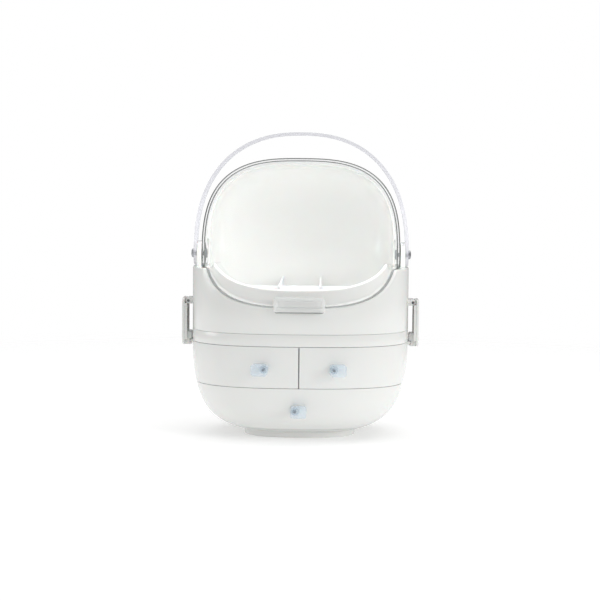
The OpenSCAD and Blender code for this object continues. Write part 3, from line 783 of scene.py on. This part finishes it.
def build_foot():
    """Shallow pan that the cabinet stands on."""
    soft, thick = 0.0006, 0.003
    profile = [(soft, 0), (soft * 0.3, soft * 0.3), (0, soft), (0, FOOT_HIGH.z),
               (thick, FOOT_HIGH.z), (thick, thick)]
    bm = bmesh.new()
    add_rings(bm, [plan_ring(FOOT_HIGH.x - inset, FOOT_HIGH.y - inset, z, 160)
                   for inset, z in profile])
    make_piece("foot_pan", bm, "white", "organizer", "foot_base")


def front_grid(x0, x1, z0, z1, inset, columns, rows):
    """Grid of points on the body's front; None for a side means the casing's edge."""
    body = settings("body")
    grid = []
    for z in spread(z0, z1, rows):
        edge_y = -(body.front_y + body.front_gap)
        left = math.pi - turn_at_y(edge_y, z, inset) if x0 is None else turn_at_x(x0, z, inset)
        right = turn_at_y(edge_y, z, inset) if x1 is None else turn_at_x(x1, z, inset)
        left = left - 2 * math.pi if left > 0 else left
        grid.append([body_point(t, z, inset) for t in spread(left, right, columns)])
    return grid


def knob_place(x, z):
    """Place on the drawer's face at a knob, with its Z axis pointing outwards."""
    a, b = body_axes(z)
    n = settings("body").plan_power
    y = front_depth(x, z)
    lean = math.atan2((abs(x) / a) ** (n - 1) / a, (y / b) ** (n - 1) / b)
    turn = Euler((math.radians(90), 0, math.copysign(lean, x) if x else 0)).to_matrix()
    return Matrix.Translation((x, -y, z)) @ turn.to_4x4()


def pad_out(z):
    """How far a knob's pad stands out, so that it clears the curved face all round."""
    least, clear = 0.0006, 0.0002
    rise = front_depth(0, z + settings("knobs").pad_r) - front_depth(0, z)
    return max(least, rise + clear)


def drawer_spot(side):
    """Place of a drawer's screw on the front, as width and height."""
    knobs = settings("knobs")
    return (side * knobs.x, knobs.upper_z) if side else (-knobs.shift, knobs.lower_z)


def build_front(label, side):
    """Curved drawer front with the pad that its knob stands on."""
    body = settings("body")
    if side:
        x0, x1 = (None, -body.centre_gap / 2) if side < 0 else (body.centre_gap / 2, None)
        z0, z1 = SHELF_Z + body.front_gap / 2, DECK_Z - body.front_gap / 2
        columns, rows = 48, 14
    else:
        x0 = x1 = None
        z0 = FOOT_HIGH.z + body.wall + body.front_gap / 2
        z1 = SHELF_Z - body.front_gap / 2
        columns, rows = 96, 22
    bm = bmesh.new()
    add_thick(bm, front_grid(x0, x1, z0, z1, 0, columns, rows),
              front_grid(x0, x1, z0, z1, body.wall, columns, rows))
    kx, kz = drawer_spot(side)
    out, pad_r = pad_out(kz), settings("knobs").pad_r
    sunk, bevel = 0.005, 0.0003
    add_turned(bm, knob_place(kx, kz), [(pad_r, -sunk), (pad_r, out - bevel),
                                        (pad_r - bevel, out)], steps=40)
    make_piece(label + "_front", bm, "white", label + "_drawer", label + "_drawer_front",
               edge=body.edge)


def clipped_ring(z, inset, x_low, x_high, y_high, steps=144):
    """Ring of the tray's outline at a height, cut off at flat sides and a flat back."""
    a, b = body_axes(z, inset)
    n = settings("body").plan_power
    middle = Vector(((x_low + x_high) / 2, 0.0))
    beyond, halvings = 0.3, 30
    ring = []
    for i in range(steps):
        turn = 2 * math.pi * i / steps
        way = Vector((math.cos(turn), math.sin(turn)))
        near, far = 0.0, beyond
        for _ in range(halvings):
            reach = (near + far) / 2
            p = middle + way * reach
            inside = (x_low <= p.x <= x_high and p.y <= y_high
                      and abs(p.x / a) ** n + abs(p.y / b) ** n <= 1)
            near, far = (reach, far) if inside else (near, reach)
        p = middle + way * near
        ring.append((p.x, p.y, z))
    return ring


def build_tray(label, side):
    """Open drawer tray that follows the casing's curve."""
    body = settings("body")
    low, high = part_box(label + "_drawer_tray")
    wall, soft, fillet = body.tray_wall, 0.0006, 0.0015
    seat, floor_rise = body.wall + 0.0003, 0.0012
    bottom, top = low.z + soft, high.z - soft

    def ring(z, extra):
        a, b = body_axes(z, body.wall + body.tray_gap + extra)
        n = body.plan_power
        side_x = a * max(0, 1 - (body.front_y / b) ** n) ** (1 / n)
        x_low = max(-side_x, low.x + extra) if side <= 0 else low.x + extra
        x_high = min(side_x, high.x - extra) if side >= 0 else high.x - extra
        return clipped_ring(z, seat + extra, x_low, x_high, high.y - extra)

    levels = [bottom + (top - bottom) * share
              for share in (0.0, 0.04, 0.09, 0.16, 0.28, 0.45, 0.65, 0.85)]
    floor_z = low.z + wall
    rings = [ring(low.z, soft)]
    rings += [ring(z, 0) for z in (*levels, top)]
    rings += [ring(high.z, soft), ring(high.z, wall - soft), ring(top, wall)]
    rings += [ring(max(floor_z + floor_rise, z), wall) for z in reversed(levels[2:])]
    rings.append(ring(floor_z, wall + fillet))
    bm = bmesh.new()
    add_rings(bm, rings)
    make_piece(label + "_tray", bm, "milk", label + "_drawer", label + "_drawer_tray", sharp=50)


def build_knob(label, side):
    """Knob block on its neck, and the screw that holds it from inside the drawer."""
    knobs = settings("knobs")
    kx, kz = drawer_spot(side)
    place = knob_place(kx, kz)
    out, neck_r = pad_out(kz), knobs.neck_dia / 2
    face = out + knobs.neck
    waist, waist_at, sunk = 0.93, 0.0012, 0.001
    bm = bmesh.new()
    add_turned(bm, place, [(neck_r, out), (neck_r * waist, out + waist_at),
                           (neck_r, face + sunk)], steps=40)
    block = place @ Matrix.Translation(((side or 1) * knobs.shift, 0, face))
    add_block(bm, block, knobs.wide, knobs.high, knobs.deep, knobs.corner, knobs.soft, 6, 10)
    make_piece(label + "_pull", bm, "knob", label + "_drawer", label + "_knob", sharp=40)
    reach, head_seat, head_top, bevel, dome = 0.005, -0.005, -0.0072, 0.0006, 0.0008
    bm = bmesh.new()
    add_turned(bm, place, [(knobs.screw_r, head_seat - 0.001), (knobs.screw_r, face + reach)],
               steps=24)
    add_turned(bm, place, [(knobs.screw_head_r - dome, head_top),
                           (knobs.screw_head_r, head_top + bevel),
                           (knobs.screw_head_r, head_seat)], steps=32)
    make_piece(label + "_screw", bm, "screw", label + "_drawer", label + "_knob_screw")


def lid_half():
    """Half width of the lid, without its bosses."""
    return LID_HIGH.x - settings("lid").boss_proud


def lid_radius():
    """Radius of the lid's outer face about the pivots, in the middle."""
    lid = settings("lid")
    return math.hypot(HALF_D - lid.inset, lid.rim_drop)


def dome_row(share, offset, ear_r):
    """Place along the pivots, and radius about them, at a share of the way between the ears."""
    def at(turn):
        return plan_point(turn, lid_half() - offset, lid_radius() - offset,
                          settings("lid").power)

    start, high = 0.0, math.pi / 2
    for _ in range(HALVINGS):
        middle = (start + high) / 2
        start, high = (middle, high) if at(middle)[1] < ear_r else (start, middle)
    return at(start + (math.pi - 2 * start) * share)


def above_rim(y, z, gap, lid):
    """Whether a point, measured from the pivots, lies above the rim by a gap."""
    if z >= gap - lid.side_drop:
        return True
    cy, cz = arc_middle(HALF_D - lid.inset, lid.rim_drop, lid.rim_slope, lid.rim_arc_r)
    return math.hypot(abs(y) - cy, z - cz) < lid.rim_arc_r - gap


def low_turn(radius, gap, furthest):
    """Lowest direction from level in which a circle about the pivots clears the rim."""
    lid = settings("lid")
    low, high = 0.0, furthest
    for _ in range(HALVINGS):
        middle = (low + high) / 2
        clear = above_rim(-radius * math.cos(middle), -radius * math.sin(middle), gap, lid)
        low, high = (middle, high) if clear else (low, middle)
    return low


def dome_grid(offset, ear_r, start_of, end_of, rows, columns):
    """Grid over a dome about the pivots; the angles run from level at the front upwards."""
    grid = []
    for share in spread(0, 1, rows):
        x, r = dome_row(share, offset, ear_r)
        grid.append([(x, -r * math.cos(t), PIVOT_Z + r * math.sin(t))
                     for t in spread(start_of(r), end_of(r), columns)])
    return grid


def build_lid():
    """Clear visor with its ears and its front tab."""
    lid = settings("lid")
    gap, rows, columns = 0.0005, 120, 72

    def rim_start(r):
        return -low_turn(r, gap, math.pi - lid.rear)

    def rear_end(_):
        return lid.rear

    bm = bmesh.new()
    # The cut edge along the rim takes the dark edge finish: painted shade for the shadow gap between the
    # lid and the tub
    add_thick(bm, *[dome_grid(offset, lid.ear_r, rim_start, rear_end, rows, columns)
                    for offset in (0, lid.wall)], PAINTED_SHADE)
    boss_in = lid_half() - lid.wall - lid.boss_deep
    deep = LID_HIGH.x - boss_in
    soft, bore = 0.0005, 0.0026
    for _, side in SIDES:
        add_turned(bm, side_place(side, boss_in),
                   [(bore, 0), (lid.ear_r - soft, 0), (lid.ear_r, soft), (lid.ear_r, deep - soft),
                    (lid.ear_r - soft, deep), (bore, deep)], steps=64, loop=True)
    add_tab(bm)
    make_piece("visor", bm, "lid", "lid", "lid", edge=0.0006, sharp=40,
               trims=("lid_edge", "tab"))


def add_tab(bm):
    """Finger tab: a plate with a dished face and a thick lower edge, on a narrow shelf."""
    lid = settings("lid")
    face_gap, corner, soft = 0.001, 0.004, 0.0012
    dish = (0.0032, 0.0018, 0.001)
    shelf_back, shelf_down, shelf_in = 0.0042, 0.0032, 0.005
    shelf_high, shelf_deep, shelf_corner, shelf_soft = 0.0020, 0.0048, 0.0008, 0.0003
    back, top = -(HALF_D + face_gap), PIVOT_Z - lid.rim_drop + lid.tab_top
    plate = placed((0, back, top - lid.tab_high / 2), (1, 0, 0), (0, 0, 1))
    shelf = placed((0, back + shelf_back, top - shelf_down), (1, 0, 0), (0, 0, 1))
    made = add_block(bm, plate, lid.tab_wide, lid.tab_high, lid.tab_thick, corner, soft,
                     4, 8, dish)
    made += add_block(bm, shelf, lid.tab_wide - 2 * shelf_in, shelf_high, shelf_deep,
                      shelf_corner, shelf_soft, 2, 3)
    # Faces along the plate's lower edge take the dark edge finish, a painted shadow for the line under
    # the tab; the rest take the tab's tint
    painted_shadow_top = top - lid.tab_high + 0.0011
    for face in {f for ring in made for vert in ring for f in vert.link_faces}:
        face.material_index = PAINTED_SHADE if face.calc_center_median().z < painted_shadow_top else TAB


def build_cover():
    """White rear dome that the visor slides over."""
    lid = settings("lid")
    gap, furthest, rows, columns = 0.0002, math.radians(89), 110, 64

    def front_start(_):
        return lid.cover_front

    def rim_end(r):
        return math.pi + low_turn(r, gap, furthest)

    bm = bmesh.new()
    add_thick(bm, *[dome_grid(offset, lid.cover_notch, front_start, rim_end, rows, columns)
                    for offset in (lid.cover_offset, lid.cover_offset + lid.cover_wall)])
    make_piece("rear_dome", bm, "white", "organizer", "back_cover", edge=0.0006, sharp=40)


def board(name, outline, low, high, standing):
    """Board with an outline drawn as (level, height), standing along X or along Y."""
    bm = bmesh.new()
    add_rings(bm, [[(t, u, z) if standing == "along_y" else (u, t, z) for u, z in outline]
                   for t in (low, high)])
    make_piece(name + "_board", bm, "milk", "organizer", name, edge=0.0004)


def build_divider(name):
    """Front-to-back divider, slotted from the top."""
    low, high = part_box(name)
    slot, slot_low = 0.0014, low.z + 0.028
    cross_y = spot("divider_cross").y
    outline = [(low.y, low.z), (high.y, low.z), (high.y, high.z), (cross_y + slot, high.z),
               (cross_y + slot, slot_low), (cross_y - slot, slot_low), (cross_y - slot, high.z),
               (low.y, high.z)]
    board(name, outline, low.x, high.x, "along_y")


def build_cross():
    """Side-to-side divider, slotted from below for the other two."""
    low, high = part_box("divider_cross")
    slot, slot_high = 0.0012, low.z + 0.0282
    outline = [(low.x, low.z)]
    for name in ("divider_left", "divider_right"):
        x = spot(name).x
        outline += [(x - slot, low.z), (x - slot, slot_high), (x + slot, slot_high),
                    (x + slot, low.z)]
    outline += [(high.x, low.z), (high.x, high.z), (low.x, high.z)]
    board("divider_cross", outline, low.y, high.y, "along_x")


def build_handle():
    """Clear carrying arch: a flat band with rounded arms at the rivets."""
    handle = settings("handle")
    half_w, half_x = HANDLE_HIGH.y, HANDLE_HIGH.x
    rise = HANDLE_HIGH.z - PIVOT_Z
    tip, leg_steps, arch_steps, columns = math.radians(88), 8, 240, 10
    legs = [(-half_w * math.sin(turn), half_w * math.cos(turn))
            for turn in spread(tip, 0, leg_steps)[:-1]]
    grids = []
    for offset in (0, handle.thick):
        arm_x = half_x - offset
        spans = [(arm_x, z, half) for z, half in legs]
        for turn in spread(0, math.pi, arch_steps):
            spans.append((*plan_point(turn, arm_x, rise - offset, handle.power), half_w))
        spans += [(-arm_x, z, half) for z, half in reversed(legs)]
        grids.append([[(x, y, PIVOT_Z + z) for y in spread(-half, half, columns)]
                      for x, z, half in spans])
    bm = bmesh.new()
    add_thick(bm, *grids)
    make_piece("carrying_arch", bm, "handle", "handle", "handle", edge=handle.edge,
               segments=3, sharp=40)


def build_rivets():
    """Rivets with domed heads, and the retainers on their inner ends."""
    shank_r, head_r, rim, crown, crown_steps = 0.0025, 0.005, 0.0012, 0.0018, 7
    bevel, soft, flat = 0.0004, 0.0003, 0.7
    for label, side in SIDES:
        place = side_place(side, 0)
        low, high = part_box("pivot_pin_" + label)
        tip, end = sorted((abs(low.x), abs(high.x)))
        seat = end - rim - crown
        profile = [(shank_r - bevel, tip), (shank_r, tip + bevel), (shank_r, seat),
                   (head_r - soft, seat), (head_r, seat + bevel), (head_r, seat + rim)]
        profile += [(head_r * math.cos(turn) ** flat, seat + rim + crown * math.sin(turn))
                    for turn in spread(0, math.radians(90), crown_steps)[1:-1]]
        profile.append((bevel, end))
        bm = bmesh.new()
        add_turned(bm, place, profile)
        make_piece("rivet_" + label, bm, "steel", "organizer", "pivot_pin_" + label)
        low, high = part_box("pivot_cap_" + label)
        near, far = sorted((abs(low.x), abs(high.x)))
        cap_r = (high.z - low.z) / 2
        bm = bmesh.new()
        add_turned(bm, place, [(shank_r, near), (cap_r * 0.6, near),
                               (cap_r - 0.0005, near + bevel), (cap_r, near + 0.001),
                               (cap_r, far - soft), (cap_r - soft, far), (shank_r, far)],
                   loop=True)
        make_piece("retainer_" + label, bm, "steel", "organizer", "pivot_cap_" + label)


def build_clasp(label, side):
    """Side clasp: plate, knuckle round the pin, finger bar and hook."""
    clasps = settings("clasps")
    low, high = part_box("latch_" + label)
    face, r, long = clasps.plate_x, clasps.knuckle_r, clasps.knuckle_wide
    wide, tall = high.y - low.y, high.z - low.z
    plate_t = max(abs(low.x), abs(high.x)) - face
    sunk, small, soft = 0.0006, 0.0006, 0.0003
    plate_soft, dish = 0.0008, (0.0040, 0.0009, 0)
    rib_t, rib_in, rib_proud, rib_short = 0.0018, 0.0016, 0.0028, 0.006
    bm = bmesh.new()
    place = side_place(side, face, (low.z + high.z) / 2)
    add_block(bm, place, wide, tall, plate_t, clasps.corner, plate_soft, 4, 8, dish)
    for end in (-1, 1):
        rib = place @ Matrix.Translation((end * (wide / 2 - rib_in), 0, -rib_proud))
        add_block(bm, rib, rib_t, tall - 2 * rib_short, rib_proud + 2 * sunk, small, soft, 2, 2)
    add_turned(bm, hinge_place(side, -long / 2),
               [(clasps.bore_r, 0), (r - soft, 0), (r, soft), (r, long - soft),
                (r - soft, long), (clasps.bore_r, long)], steps=40, loop=True)
    arm_in = 0.0022
    add_block(bm, side_place(side, CLASP_X + arm_in, CLASP_Z), long, 2 * r,
              face - CLASP_X - arm_in + 0.0005, small, soft, 2, 2)
    block_top = DECK_Z + clasps.block_h
    hook_x, back_x = HALF_W + clasps.hook_clear, face + sunk
    bevel, slot = 0.0012, clasps.hook_gap
    slot_x = CABINET_HIGH.x + slot
    rib_low, rib_top = rib_heights()
    outline = [(hook_x, low.z + small), (hook_x + small, low.z), (back_x, low.z),
               (back_x, block_top), (hook_x + bevel, block_top), (hook_x, block_top - bevel),
               (hook_x, rib_top + slot), (slot_x, rib_top + slot), (slot_x, rib_low - slot),
               (hook_x, rib_low - slot)]
    half = clasps.block_wide / 2
    add_rings(bm, [[(side * x, y, z) for x, z in outline] for y in (-half, half)])
    make_piece("clasp_" + label, bm, "white", label + "_latch", "latch_" + label, edge=0.00025)


def dress_cad_nodes():
    """Boards and pins keep their CAD shape and get their finish."""
    for name, finish in (("drawer_shelf", "milk"), ("centre_partition", "milk"),
                         ("cabinet_deck", "milk"), ("latch_pins", "steel")):
        piece = frame["nodes"][name]
        piece.data.materials.clear()
        piece.data.materials.append(finish_of(finish))
        rounding = piece.modifiers.new("rounded_edges", "BEVEL")
        rounding.width = 0.0003
        rounding.segments = 2
        rounding.limit_method = "ANGLE"


# Stage

def add_area(name, place, target, size, power):
    """Soft box at a place, turned towards its target; its power is in watts."""
    light = bpy.data.lights.new(name, "AREA")
    light.shape = "RECTANGLE"
    light.size, light.size_y = size
    light.energy = power
    lamp = bpy.data.objects.new(name, light)
    lamp.location = place
    lamp.rotation_euler = (Vector(target) - Vector(place)).to_track_quat("-Z", "Y").to_euler()
    bpy.context.scene.collection.objects.link(lamp)
    return lamp


def floor_finish(tint, fade_end, fade_rate=1.8):
    """Pale matt floor that fades into the white room around it."""
    material, tree = new_material("pale_floor")
    place = place_in(tree)
    reach = node(tree, "ShaderNodeVectorMath", {"operation": "LENGTH"}, out="Value",
                 **{"0": place})
    grain = noise(tree, place, 6)
    return finish_material(material, tree, Base_Color=grain.mixed(darker(tint, 0.99), tint),
                           Roughness=0.55, Emission_Color=(1, 1, 1), Emission_Strength=0.2,
                           Alpha=((fade_end - reach) * fade_rate).clamped())


def soft_room(strength):
    """White all round to the eye, dimmer as a light."""
    world = bpy.data.worlds.new("soft_room")
    world.use_nodes = True
    tree = world.node_tree
    seen = node(tree, "ShaderNodeLightPath", out="Is Camera Ray")
    background = tree.nodes["Background"]
    background.inputs["Color"].default_value = (1, 1, 1, 1)
    tree.links.new(seen.maths("MAXIMUM", strength).output, background.inputs["Strength"])
    return world


# Name, place, target, size and watts of each light; box_glow brightens the inside of the lid
LIGHTS = (
    ("overhead", (0.1, 0.2, 2.2), (0, 0, 0), (2.4, 2.4), 28),
    ("key_right", (1.7, -1.2, 0.7), (0, 0, 0.15), (0.7, 0.7), 14),
    ("rim_left", (-1.8, -0.2, 0.6), (0, 0, 0.15), (0.8, 0.8), 6),
    ("low_front", (0.2, -1.7, 0.12), (0, 0, 0.04), (1.6, 0.2), 0.8),
    ("box_glow", (0, -0.075, 0.23), (0, 0.08, 0.15), (0.17, 0.05), 0.185),
)


def build_stage():
    """Floor, room, lights and camera."""
    stage = settings("stage")
    scene = bpy.context.scene
    bm = bmesh.new()
    bm.faces.new([bm.verts.new((stage.floor_r * math.cos(t), stage.floor_r * math.sin(t), 0))
                  for t in spread(0, 2 * math.pi, 96)[:-1]])
    mesh = bpy.data.meshes.new("floor")
    bm.to_mesh(mesh)
    bm.free()
    floor = bpy.data.objects.new("floor", mesh)
    scene.collection.objects.link(floor)
    mesh.materials.append(floor_finish(tuple(settings("finish").floor), stage.floor_end))

    scene.world = soft_room(stage.room)
    scene.view_settings.view_transform = "Standard"
    for name, *settled in LIGHTS:
        lamp = add_area(name, *settled)
        lamp.visible_camera = name != "box_glow"
        lamp.visible_glossy = name not in ("box_glow", "key_right")

    view = bpy.data.cameras.new("camera")
    view.lens = stage.lens
    view.sensor_width = 36
    view.shift_x = stage.shift_x
    camera = bpy.data.objects.new("camera", view)
    camera.location = (stage.distance * math.sin(stage.azimuth),
                       -stage.distance * math.cos(stage.azimuth), stage.height)
    look = (Euler((0, 0, stage.azimuth)).to_matrix()
            @ Euler((math.radians(90) - stage.pitch, 0, 0)).to_matrix()
            @ Euler((0, 0, stage.roll)).to_matrix())
    camera.rotation_euler = look.to_euler()
    scene.collection.objects.link(camera)
    scene.camera = camera


# Operators

class ORGANIZER_OT_stage(bpy.types.Operator):
    """Add the floor, the light and the camera"""
    bl_idname = "organizer.stage"
    bl_label = "Stage"

    def execute(self, context):
        build_stage()
        return {"FINISHED"}


class ORGANIZER_OT_cabinet(bpy.types.Operator):
    """Add the cabinet's casing and foot, and finish its boards"""
    bl_idname = "organizer.cabinet"
    bl_label = "Cabinet"

    def execute(self, context):
        build_casing()
        build_foot()
        dress_cad_nodes()
        return {"FINISHED"}


class ORGANIZER_OT_drawers(bpy.types.Operator):
    """Add the three drawer fronts and trays"""
    bl_idname = "organizer.drawers"
    bl_label = "Drawers"

    def execute(self, context):
        for label, side in DRAWERS:
            build_front(label, side)
            build_tray(label, side)
        return {"FINISHED"}


class ORGANIZER_OT_knobs(bpy.types.Operator):
    """Add the knobs and their screws"""
    bl_idname = "organizer.knobs"
    bl_label = "Knobs"

    def execute(self, context):
        for label, side in DRAWERS:
            build_knob(label, side)
        return {"FINISHED"}


class ORGANIZER_OT_box(bpy.types.Operator):
    """Add the upper box: its band, tub, rear dome and dividers"""
    bl_idname = "organizer.box"
    bl_label = "Upper box"

    def execute(self, context):
        build_band()
        build_tub()
        for label, side in SIDES:
            build_lugs(label, side)
        build_cover()
        for label, _ in SIDES:
            build_divider("divider_" + label)
        build_cross()
        return {"FINISHED"}


class ORGANIZER_OT_lid(bpy.types.Operator):
    """Add the clear visor lid"""
    bl_idname = "organizer.lid"
    bl_label = "Lid"

    def execute(self, context):
        build_lid()
        return {"FINISHED"}


class ORGANIZER_OT_handle(bpy.types.Operator):
    """Add the carrying arch and the rivets"""
    bl_idname = "organizer.handle"
    bl_label = "Handle"

    def execute(self, context):
        build_handle()
        build_rivets()
        return {"FINISHED"}


class ORGANIZER_OT_clasps(bpy.types.Operator):
    """Add the two side clasps"""
    bl_idname = "organizer.clasps"
    bl_label = "Clasps"

    def execute(self, context):
        for label, side in SIDES:
            build_clasp(label, side)
        return {"FINISHED"}


OPERATORS = (ORGANIZER_OT_stage, ORGANIZER_OT_cabinet, ORGANIZER_OT_drawers,
             ORGANIZER_OT_knobs, ORGANIZER_OT_box, ORGANIZER_OT_lid, ORGANIZER_OT_handle,
             ORGANIZER_OT_clasps)


class ORGANIZER_PT_panel(bpy.types.Panel):
    """Panel that lists the sizes, the colours and the steps"""
    bl_idname = "ORGANIZER_PT_panel"
    bl_label = "Makeup organizer"
    bl_space_type = "VIEW_3D"
    bl_region_type = "UI"
    bl_category = "Organizer"

    def draw(self, context):
        layout = self.layout
        for name, group in GROUPS.items():
            column = layout.column(align=True)
            column.label(text=group.__doc__)
            for key in group.__annotations__:
                column.prop(getattr(context.scene, name), key)
        for operator in OPERATORS:
            layout.operator(operator.bl_idname)


def register():
    for cls in (*GROUPS.values(), *OPERATORS, ORGANIZER_PT_panel):
        bpy.utils.register_class(cls)
    for name, group in GROUPS.items():
        setattr(bpy.types.Scene, name, bpy.props.PointerProperty(type=group))


def unregister():
    for name in GROUPS:
        delattr(bpy.types.Scene, name)
    for cls in (ORGANIZER_PT_panel, *reversed(OPERATORS), *reversed(list(GROUPS.values()))):
        bpy.utils.unregister_class(cls)


def main():
    register()
    for operator in OPERATORS:
        group, action = operator.bl_idname.split(".")
        getattr(getattr(bpy.ops, group), action)()


if __name__ == "__main__":
    main()
